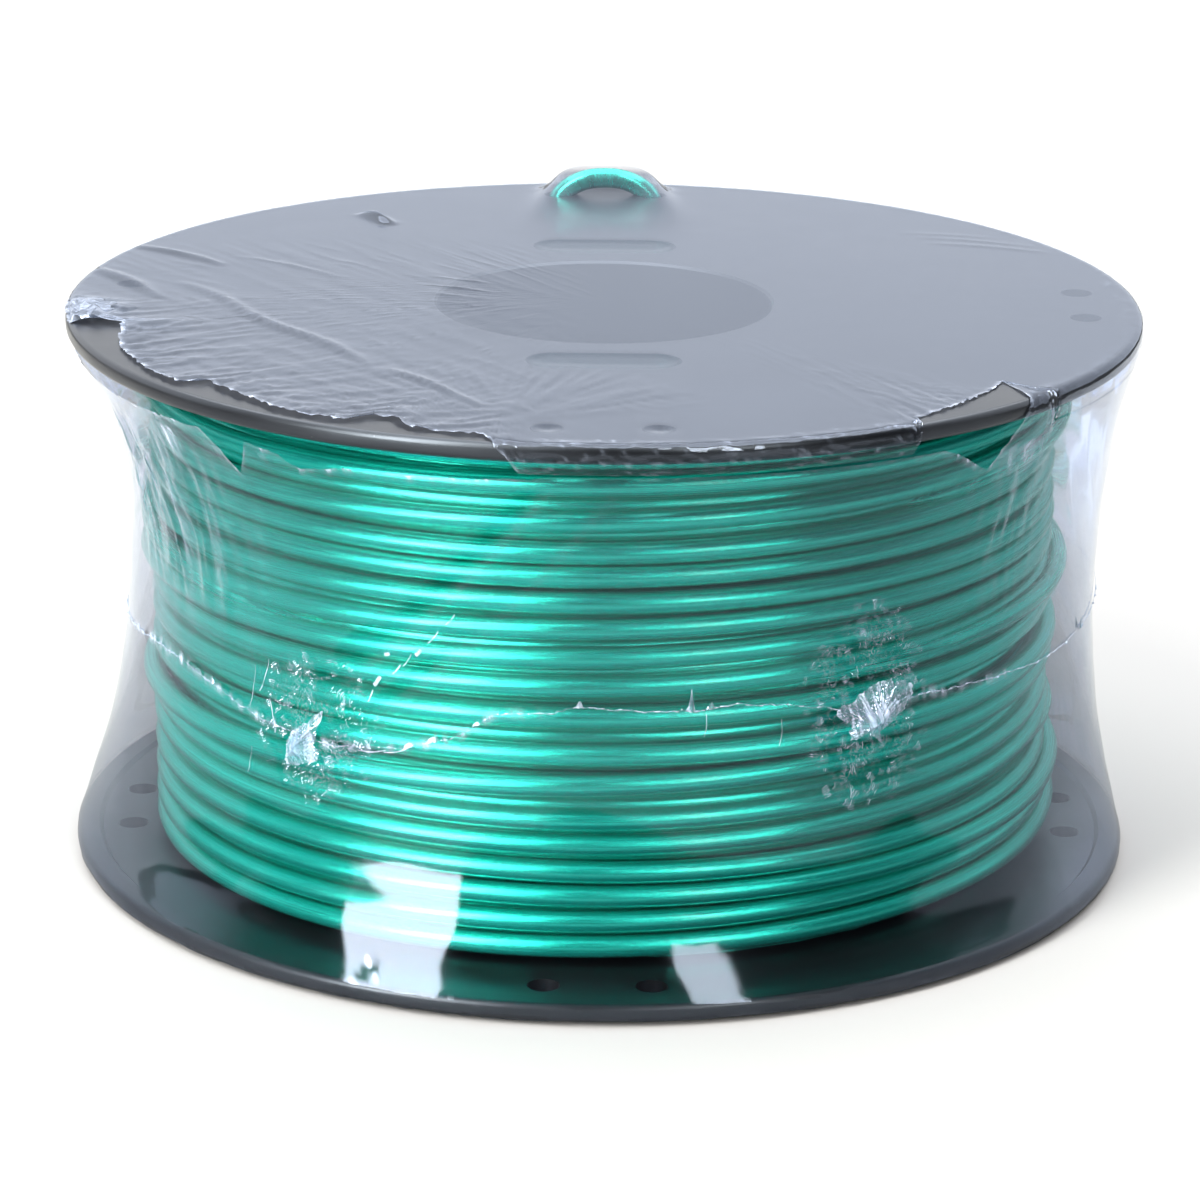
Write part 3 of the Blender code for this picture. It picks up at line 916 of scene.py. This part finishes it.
def side_relief(degrees, height):
    """(lift, milkiness, melt, cling) of the film round the side. Part of the milkiness is painted light:
    highlights along the fold's edges and a sheen low down at the sides.
    """
    arc = degrees * ARC_MM
    lift = 0.25 * ruffle(arc * 0.05, height * 0.07, 0.0)
    upper = smooth_step(50, 62, height)
    folds = bump(degrees, -57, 9) * smooth_step(48, 58, height)
    lift += 0.9 * folds * ridged(ruffle((arc + 0.12 * height) * 0.23, height * 0.03, 2.0)) ** 2
    below = FOLD_END[1] - height
    beside = degrees - FOLD_END[0]
    ran = below * FOLD_DOWN - beside * FOLD_ACROSS
    band = beside * FOLD_DOWN + below * FOLD_ACROSS - 1.4 * math.sin(ran / 13)
    line = smooth_step(-3, 4, ran) * (1 - smooth_step(38, 52, ran))
    lift += line * (0.8 * bump(band, 0, 2.2) - 0.6 * bump(band, 5, 2.0) + 0.5 * bump(band, -6.5, 2.2))
    lift += 0.5 * upper * bump(degrees, 47, 6) * ridged(ruffle(arc * 0.4, height * 0.06, 6.0)) ** 2
    melt = 0.0
    for centre, level, half_width, half_height in MELTS:
        spread = math.hypot((degrees - centre) * ARC_MM / half_width, (height - level) / half_height)
        edge = 0.25 * ruffle(arc * 0.15, height * 0.15, 8.0)
        melt = max(melt, 1 - smooth_step(0.7, 1.05, spread + edge))
    lift += 0.5 * melt * (ridged(ruffle(arc * 0.42, height * 0.5, 3.0)) - 0.8)
    folded = line * (1.15 * bump(band, 0.3, 1.2) + 0.3 * bump(band, 6.5, 0.9))
    cling = max(0.85 * melt, min(folded, 1.0))
    leaf_x = (degrees - LEAF[0]) * ARC_MM
    leaf_y = height - LEAF[1]
    leaf = bump(leaf_x * 0.8 + leaf_y * 0.6, 0, 2.3) * bump(leaf_y * 0.8 - leaf_x * 0.6, 0, 0.9)
    lift -= 0.7 * leaf
    cling += smooth_step(0.25, 0.5, leaf)
    left_front = smooth_step(-125, -95, degrees) * (1 - smooth_step(-46, -24, degrees))
    milk = 0.05 * left_front * smooth_step(38, 46, height)
    milk *= 0.6 + 0.8 * abs(ruffle(arc * 0.2, height * 0.04, 1.0))
    # Pale lines along the edges of the diagonal fold: painted highlights
    milk += 0.1 * line * (bump(band, 2.3, 0.5) + 0.5 * bump(band, 8.3, 0.5))
    # Milkiness low down on the right side, and a little on the left: a painted sheen that lightens the film
    # there
    painted_sheen = 0.085 * smooth_step(45, 65, degrees) + 0.012 * smooth_step(-45, -65, degrees)
    milk += (1 - smooth_step(8, 26, height)) * painted_sheen
    milk += 0.5 * bump(leaf, 0.25, 0.1) * smooth_step(0.0, 0.3, ruffle(arc * 0.9, height * 0.9, 5.0))
    for centre, level, wide, tall, slant, amount in FLAPS:
        place = bump(degrees, centre, wide) * bump(height, level, tall)
        streak = ridged(ruffle((arc + slant * height) * 0.55, height * 0.05, 4.0))
        milk += 1.4 * amount * place * (0.25 + 0.75 * streak**3)
        lift += 0.8 * place * streak**2
    return lift, milk, melt, cling


def film_layers(bm):
    """What the film's material reads at each vertex: how milky it is, from crumpling and from painted glints
    and sheen, and how melted and clinging it is.
    """
    return [bm.verts.layers.float.new(name) for name in ("milk_and_painted_sheen", "melt", "cling")]


def film_sheet(name, columns, rows, first_edge, last_edge, spread, material):
    """A sheet closed round the axis between two edges, each a function of the degrees from the front."""
    bm = bmesh.new()
    bmesh.ops.create_grid(bm, x_segments=columns, y_segments=rows, size=0.5)
    milky, melted, clinging = film_layers(bm)
    for vert in bm.verts:
        degrees = 360 * vert.co.x
        angle = math.radians(degrees)
        first = first_edge(degrees)
        last = last_edge(degrees)
        run = first + (last - first) * spread(vert.co.y + 0.5)
        point, out = film_profile(angle, run)
        lift = milk = melt = cling = 0.0
        to_edge = min(run - first if first > 0 else 1.0, last - run) / MM
        if run < TOP_EDGE:
            to_tear = (last - run) / MM if first == 0 else 9.0
            lift, milk = top_relief(point.x / MM, point.y / MM, degrees, to_tear)
            tent = tent_height(point.x, point.y)
            point.z += tent
            before = LOOP_Y - point.y
            cling = 0.8 * smooth_step(2.5 * MM, 4.5 * MM, tent) * smooth_step(5.0 * MM, 2.0 * MM, before)
        if RELIEF_START < run < SIDE_END:
            share = smooth_step(RELIEF_START, RELIEF_START + 6 * MM, run)
            share *= 1 - smooth_step(SIDE_END - 10 * MM, SIDE_END - 3 * MM, run)
            lift, milk, melt, cling = side_relief(degrees, point.z / MM)
            lift *= share
        elif TOP_EDGE - 2 * MM < run < SIDE_START + 4 * MM:
            more, painted_sheen = rim_relief(degrees, run / MM)
            lift += more * smooth_step(TOP_EDGE - 2 * MM, TOP_EDGE, run)
            milk += painted_sheen
        frayed = torn_here(degrees) * (1 - smooth_step(0.0, 1.1, to_edge))
        lift += 0.5 * frayed * abs(ruffle(degrees * 1.3, run / MM, 2.0))
        milk += 0.7 * frayed * smooth_step(-0.3, 0.4, ruffle(degrees * 0.9, 3.0, 1.0))
        vert.co = point + lift * MM * out
        vert[milky] = min(milk, 1.0)
        vert[melted] = melt
        vert[clinging] = cling
    mesh = finish_mesh(bm, name, 0.001 * MM, sharp_angle=math.radians(60))
    return link_object(name, mesh, material)


def torn_here(degrees):
    left = smooth_step(-90, -88, degrees) * (1 - smooth_step(-8, -5, degrees))
    right = smooth_step(32, 34, degrees) * (1 - smooth_step(51, 53, degrees))
    return max(left, right)


def ragged(degrees, seed):
    """How far an edge strays, in millimetres: broad scallops and fine fraying."""
    fine = 0.45 * ruffle(degrees * 1.7, seed, 0.0, 3)
    return 0.5 * ruffle(degrees * 0.35, seed, 4.0) + fine


def top_sheet_end(degrees):
    edge = value_at(LEFT_TOP_TEAR, degrees) if degrees < 10 else value_at(RIGHT_TOP_TEAR, degrees)
    return min((edge + torn_here(degrees) * ragged(degrees, 1.0)) * MM, JOIN)


def side_sheet_start(degrees):
    edge = value_at(LEFT_SIDE_TEAR, degrees) if degrees < 10 else value_at(RIGHT_SIDE_TEAR, degrees)
    stray = 0.4 * torn_here(degrees) * ragged(degrees, 6.0)
    return (edge + stray) * MM


def seam_level(degrees):
    level = value_at(SEAM_WAY, degrees)
    return (level + 0.35 * ruffle(degrees * 0.5, 2.0, 0.0) + 0.2 * ruffle(degrees * 2.1, 5.0, 0.0)) * MM


def run_down_to(height):
    """Distance along the film, down the side to a height."""
    return SIDE_START + TOP_FACE - RIM_ROUNDING - height


def seam_run(degrees):
    return run_down_to(seam_level(degrees))


def tent_height(x, y):
    """How far the wire's end lifts the film above the flange."""
    along = y - LOOP_Y
    reach = LOOP_HALF + 1.6 * MM + 0.12 * max(-along, 0.0)
    lift = (LOOP_HIGH.z - TOP_FACE + 0.3 * MM) * math.exp(-((abs(x) / reach) ** 5))
    if along < 0:
        return lift * math.exp(-((-along / (13.0 * MM)) ** 1.7))
    return lift * math.exp(-((along / (4.0 * MM)) ** 2.6))


def thread(bm, milky, degrees, height, length, bearing, curl, width, milk):
    """A fine raised crease: a ribbon that bends as it runs over the film. Lengths are in millimetres."""
    steps = 6
    made = bmesh.ops.create_grid(bm, x_segments=steps, y_segments=1, size=0.5)["verts"]
    for vert in made:
        share = vert.co.x
        heading = bearing + curl * share
        middle = bearing + 0.5 * curl * share
        side_mm = length * share * math.cos(middle) - width * vert.co.y * math.sin(heading)
        up_mm = length * share * math.sin(middle) + width * vert.co.y * math.cos(heading)
        level = min(max(height + up_mm, 4.0), 82.0)
        point, out = film_profile(math.radians(degrees) + side_mm / WAIST_MM, run_down_to(level * MM))
        vert.co = point + (0.42 + 0.1 * math.cos(9 * share)) * MM * out
        vert[milky] = milk


def weld_marks(bm, milky):
    """Curly creases where the film has melted onto the wire, and the flakes of a scratch."""
    random = np.random.default_rng(11)
    for centre, level, half_width, half_height, count in WELDS:
        for _ in range(count):
            turn = 2 * math.pi * random.random()
            far = random.uniform(0.12, 1.0) ** 0.55
            degrees = centre + far * half_width * math.cos(turn) / ARC_MM
            height = level + far * half_height * math.sin(turn)
            bearing = random.normal(1.0, 0.5)
            curl = random.normal(0, 0.9)
            length = random.uniform(0.5, 1.6)
            milk = random.uniform(0.15, 0.7)
            for k in range(random.integers(2, 7)):
                step = 0.3 * k
                thread(
                    bm,
                    milky,
                    degrees + step * math.sin(bearing) / ARC_MM,
                    height - step * math.cos(bearing),
                    length * random.uniform(0.6, 1.2),
                    bearing + random.normal(0, 0.12),
                    curl,
                    random.uniform(0.05, 0.1),
                    milk * random.uniform(0.5, 1.2),
                )
    for degrees, height, length, bearing, width in SCRATCH:
        thread(bm, milky, degrees, height, length, bearing, 0.4, width, 0.85)


def seam_piece(material):
    """The sealed seam, a thin ragged fin all the way round, and the creases beside it."""
    bm = bmesh.new()
    bmesh.ops.create_grid(bm, x_segments=1400, y_segments=4, size=0.5)
    milky = film_layers(bm)[0]
    for vert in bm.verts:
        degrees = 360 * vert.co.x
        side = vert.co.y + 0.5
        thick = 0.07 + 0.1 * abs(ruffle(degrees * 0.9, 3.0, 7.0))
        spike = sum(size * bump(degrees, centre, 0.22) for centre, size in SEAM_SPIKES)
        spread = thick + (spike if side > 0.5 else 0)
        level = seam_level(degrees) / MM + (2 * side - 1) * spread
        point, out = film_profile(math.radians(degrees), run_down_to(level * MM))
        stand = 0.2 + 0.5 * (1 - abs(2 * side - 1)) * abs(ruffle(degrees * 1.9, 1.0, 3.0)) + 0.2 * spike
        vert.co = point + stand * MM * out
        vert[milky] = 0.3 + 0.7 * abs(ruffle(degrees * 0.7, side, 2.0))
    weld_marks(bm, milky)
    mesh = finish_mesh(bm, "film_seam_fin", 0.001 * MM)
    return link_object("film_seam_fin", mesh, material)


def tab_piece(name, degrees, height, reaches, seed, milk, material):
    """A gathered tab of film on the seam: folds that fan out from a knot, within an outline."""
    bm = bmesh.new()
    bmesh.ops.create_grid(bm, x_segments=240, y_segments=26, size=0.5)
    milky = film_layers(bm)[0]
    for vert in bm.verts:
        turn = 360 * (vert.co.x + 0.5)
        far = vert.co.y + 0.5
        bearing = math.radians(turn)
        ragged_share = 1 + 0.12 * ruffle(math.cos(bearing) * 9, math.sin(bearing) * 9, seed)
        reach = value_at(reaches, turn) * ragged_share * far
        side_mm = reach * math.cos(bearing)
        up_mm = reach * math.sin(bearing)
        angle = math.radians(degrees) + side_mm / WAIST_MM
        point, out = film_profile(angle, run_down_to((height + up_mm) * MM))
        twist = bearing + 0.25 * far
        pleat = ridged(ruffle(math.cos(twist) * 7, math.sin(twist) * 7, seed + far * 0.7, 2))
        fibre = ridged(ruffle(math.cos(twist) * 26, math.sin(twist) * 26, seed + far * 1.1, 2))
        stand = 0.3 + 1.7 * bump(far, 0.0, 0.45) + 1.3 * far * pleat * (1.15 - far)
        vert.co = point + stand * MM * out
        knot = bump(far, 0.0, 0.4)
        hairs = fibre**3 + 0.35 * smooth_step(0.93, 1.0, far)
        vert[milky] = milk * min(0.36 + 0.75 * knot + 0.8 * hairs, 1.0)
    mesh = finish_mesh(bm, name, 0.001 * MM)
    return link_object(name, mesh, material)


class SPOOL_OT_film(bpy.types.Operator):
    """Draw the shrink film over the spool, torn at the front rim"""

    bl_idname = "spool.film"
    bl_label = "Film"

    def execute(self, context):
        settings = context.scene.spool_film
        material = clear_film(settings)
        top = film_sheet(
            "film_top", 720, 84, lambda d: 0.0, top_sheet_end, lambda v: 1 - (1 - v) ** 1.35, material
        )
        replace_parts(top, "film_top_sheet")
        side = film_sheet("film_side", 720, 56, side_sheet_start, seam_run, lambda v: v, material)
        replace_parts(side, "film_sleeve_upper")
        low = film_sheet(
            "film_low", 720, 84, seam_run, lambda d: FILM_END, lambda v: v**0.8 * 0.36 + 0.64 * v**3, material
        )
        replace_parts(low, "film_sleeve_lower", "film_bottom_sheet")
        return {"FINISHED"}


class SPOOL_OT_seam(bpy.types.Operator):
    """Run the sealed seam round the film, with a gathered tab at each side"""

    bl_idname = "spool.seam"
    bl_label = "Seam"

    def execute(self, context):
        material = bpy.data.materials["clear_film"]
        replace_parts(seam_piece(material), "film_seam")
        left = tab_piece("film_tab_left", -35, 35, LEFT_TAB, 1.0, 0.95, material)
        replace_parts(left, "film_ear_left")
        right = tab_piece("film_tab_right", 31, 41, RIGHT_TAB, 5.0, 0.72, material)
        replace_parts(right, "film_ear_right")
        return {"FINISHED"}


# Stage

CAMERA_ASIDE = -0.2 * MM
STRIP_DISTANCE = 1.7
STRIP_COLOUR = (1.0, 0.985, 0.93)

# Upright strip lights: degrees from the front, width, both ends' heights and power in watts
STRIPS = (
    ("left_strip", -42, 0.62, 0.02, 3.1, 100.0),
    ("right_strip", 26, 0.28, 0.26, 3.1, 25.0),
)

def add_light(name, place, target, width, height, power, colour=(1.0, 1.0, 1.0)):
    lamp = bpy.data.lights.new(name, "AREA")
    lamp.shape = "RECTANGLE"
    lamp.size = width
    lamp.size_y = height
    lamp.energy = power
    lamp.color = colour
    light = bpy.data.objects.new(name, lamp)
    bpy.context.scene.collection.objects.link(light)
    light.location = place
    toward = Vector(target) - Vector(place)
    light.rotation_euler = toward.to_track_quat("-Z", "Y").to_euler()
    light.visible_camera = False
    return light


def studio_world():
    """White for the camera. For the spool: a pale wall behind it and a dark studio in front."""
    world = bpy.data.worlds.new("studio")
    world.use_nodes = True
    bpy.context.scene.world = world
    tree = world.node_tree
    tree.nodes.clear()
    way = add_node(tree, "ShaderNodeTexCoord").outputs["Generated"]
    split = add_node(tree, "ShaderNodeSeparateXYZ", Vector=way)
    behind = map_range(tree, split.outputs["Y"], -0.25, 0.15)
    low = map_range(tree, split.outputs["Z"], 0.85, 0.6)
    wall = maths(tree, "MULTIPLY", behind, low)
    seen = mix_colour(tree, wall, (0.022, 0.023, 0.027, 1.0), (1.2, 1.22, 1.25, 1.0))
    lit = add_node(tree, "ShaderNodeBackground", Color=seen, Strength=1.0)
    white = add_node(tree, "ShaderNodeBackground", Color=(1.0, 1.0, 1.0, 1.0), Strength=1.0)
    path = add_node(tree, "ShaderNodeLightPath")
    shown = add_node(tree, "ShaderNodeMixShader")
    tree.links.new(path.outputs["Is Camera Ray"], shown.inputs[0])
    tree.links.new(lit.outputs[0], shown.inputs[1])
    tree.links.new(white.outputs[0], shown.inputs[2])
    out = add_node(tree, "ShaderNodeOutputWorld")
    tree.links.new(shown.outputs[0], out.inputs["Surface"])


def pale_floor():
    """A pale floor that fades to white far off. Where the spool mirrors it or light bounces off it, it is
    painted darker in front of the spool, a painted shade, and it ends at straight edges past which it is
    painted nearly black.
    """
    bm = bmesh.new()
    bmesh.ops.create_grid(bm, x_segments=1, y_segments=1, size=4.0)
    mesh = finish_mesh(bm, "floor", smooth=False)
    floor = bpy.data.objects.new("floor", mesh)
    bpy.context.scene.collection.objects.link(floor)
    material, tree, shader = new_material("pale_floor")
    place = add_node(tree, "ShaderNodeTexCoord").outputs["Object"]
    split = add_node(tree, "ShaderNodeSeparateXYZ", Vector=place)
    behind = map_range(tree, split.outputs["Y"], -0.06, 0.12)
    # Painted shade for rays other than the camera's: the floor is darker in front of the spool than behind
    # it, and nearly black past straight edges, standing in for the dim front of the studio
    near = mix_colour(tree, behind, (0.26, 0.26, 0.26, 1.0), (0.56, 0.55, 0.52, 1.0))
    aside = map_range(tree, maths(tree, "ABSOLUTE", split.outputs["X"]), 0.36, 0.38)
    ahead = map_range(tree, split.outputs["Y"], -0.5, -0.52)
    painted_shade_tone = mix_colour(tree, maths(tree, "MAXIMUM", aside, ahead), near, (0.03, 0.03, 0.03, 1.0))
    across = maths(tree, "MULTIPLY", split.outputs["X"], split.outputs["X"])
    away = maths(tree, "SQRT", maths(tree, "MULTIPLY_ADD", split.outputs["Y"], split.outputs["Y"], across))
    path = add_node(tree, "ShaderNodeLightPath")
    tone = mix_colour(tree, path.outputs["Is Camera Ray"], painted_shade_tone, (0.555, 0.55, 0.55, 1.0))
    tree.links.new(tone, shader.inputs["Base Color"])
    shader.inputs["Roughness"].default_value = 0.8
    shader.inputs["Specular IOR Level"].default_value = 0.2
    glow = add_node(tree, "ShaderNodeEmission", Color=(1.0, 1.0, 1.0, 1.0), Strength=1.0)
    far = maths(tree, "MULTIPLY", path.outputs["Is Camera Ray"], map_range(tree, away, 0.8, 1.5))
    faded = add_node(tree, "ShaderNodeMixShader")
    tree.links.new(far, faded.inputs[0])
    tree.links.new(shader.outputs[0], faded.inputs[1])
    tree.links.new(glow.outputs[0], faded.inputs[2])
    tree.links.new(faded.outputs[0], tree.nodes["Material Output"].inputs["Surface"])
    mesh.materials.append(material)


class SPOOL_OT_stage(bpy.types.Operator):
    """Set up the floor, the lights, the world and the camera"""

    bl_idname = "spool.stage"
    bl_label = "Stage"

    def execute(self, context):
        settings = context.scene.spool_stage
        scene = context.scene
        lens = bpy.data.cameras.new("camera")
        lens.lens = settings.camera_lens
        lens.sensor_width = 36.0
        lens.clip_end = 50.0
        camera = bpy.data.objects.new("camera", lens)
        scene.collection.objects.link(camera)
        turn = Matrix.Rotation(math.pi / 2 - settings.camera_pitch, 4, "X")
        lean = Matrix.Rotation(settings.camera_roll, 4, "Z")
        spot = Matrix.Translation((CAMERA_ASIDE, -settings.camera_distance, settings.camera_height))
        camera.matrix_world = spot @ turn @ lean
        scene.camera = camera
        scene.view_settings.view_transform = "Standard"
        studio_world()
        pale_floor()
        middle = (0.0, 0.0, 0.04)
        add_light("overhead", (0.0, 0.3, 1.6), middle, 2.2, 2.0, 46.0)
        for name, degrees, width, low, high, power in STRIPS:
            level = (low + high) / 2
            place = polar(STRIP_DISTANCE, math.radians(degrees), level)
            add_light(name, place, (0.0, 0.0, level), width, high - low, power, STRIP_COLOUR)
        return {"FINISHED"}


class SPOOL_PT_panel(bpy.types.Panel):
    """Lists the pieces of the spool and their settings"""

    bl_label = "Wire Spool"
    bl_space_type = "VIEW_3D"
    bl_region_type = "UI"
    bl_category = "Wire Spool"

    def draw(self, context):
        for operator in OPERATORS:
            self.layout.operator(operator.bl_idname)
        for settings in (context.scene.spool_reel, context.scene.spool_wire, context.scene.spool_film):
            for key in settings.__annotations__:
                self.layout.prop(settings, key)


OPERATORS = (
    SPOOL_OT_stage,
    SPOOL_OT_reel,
    SPOOL_OT_winding,
    SPOOL_OT_wire_end,
    SPOOL_OT_film,
    SPOOL_OT_seam,
)
GROUPS = (
    ("spool_reel", ReelSettings),
    ("spool_wire", WireSettings),
    ("spool_film", FilmSettings),
    ("spool_stage", StageSettings),
)


def register():
    for name, group in GROUPS:
        bpy.utils.register_class(group)
        setattr(bpy.types.Scene, name, bpy.props.PointerProperty(type=group))
    for kind in OPERATORS:
        bpy.utils.register_class(kind)
    bpy.utils.register_class(SPOOL_PT_panel)


def unregister():
    bpy.utils.unregister_class(SPOOL_PT_panel)
    for kind in reversed(OPERATORS):
        bpy.utils.unregister_class(kind)
    for name, group in reversed(GROUPS):
        delattr(bpy.types.Scene, name)
        bpy.utils.unregister_class(group)


def main():
    register()
    bpy.ops.spool.stage()
    bpy.ops.spool.reel()
    bpy.ops.spool.winding()
    bpy.ops.spool.wire_end()
    bpy.ops.spool.film()
    bpy.ops.spool.seam()


if __name__ == "__main__":
    main()
